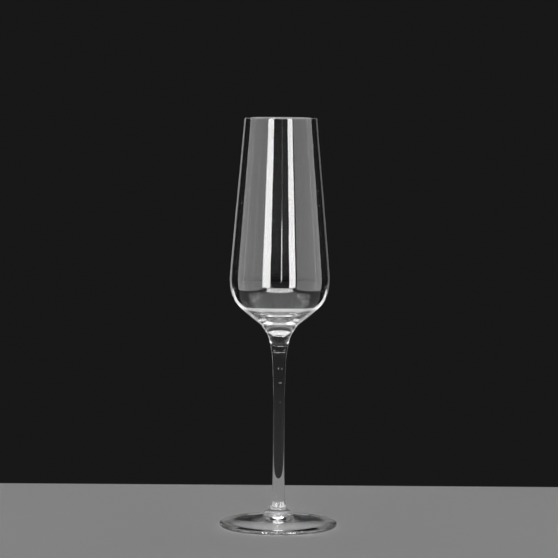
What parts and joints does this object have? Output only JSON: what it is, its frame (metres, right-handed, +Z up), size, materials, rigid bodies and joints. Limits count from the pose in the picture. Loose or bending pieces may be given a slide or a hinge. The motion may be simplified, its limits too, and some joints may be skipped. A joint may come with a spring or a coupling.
{
  "type": "champagne flute",
  "caption": "Tall clear-glass champagne flute: tapering bowl on a thick pointed base, solid waisted stem and shallow conical foot.",
  "frame": {"origin": "centre of the circle that the foot stands on, on the table's surface", "axes": "+Z up along the glass's axis of revolution, from the foot to the rim; +X and +Y are free, because the glass is round"},
  "size_m": [0.0706, 0.0706, 0.245],
  "materials": {
    "foot_glass": "clear crystal, fire polished",
    "stem_glass": "clear crystal, drawn and fire polished",
    "bowl_glass": "clear crystal, blown, rim fire polished"
  },
  "bodies": {
    "root": {"foot": "foot_glass", "stem": "stem_glass", "bowl": "bowl_glass"}
  },
  "joints": []
}
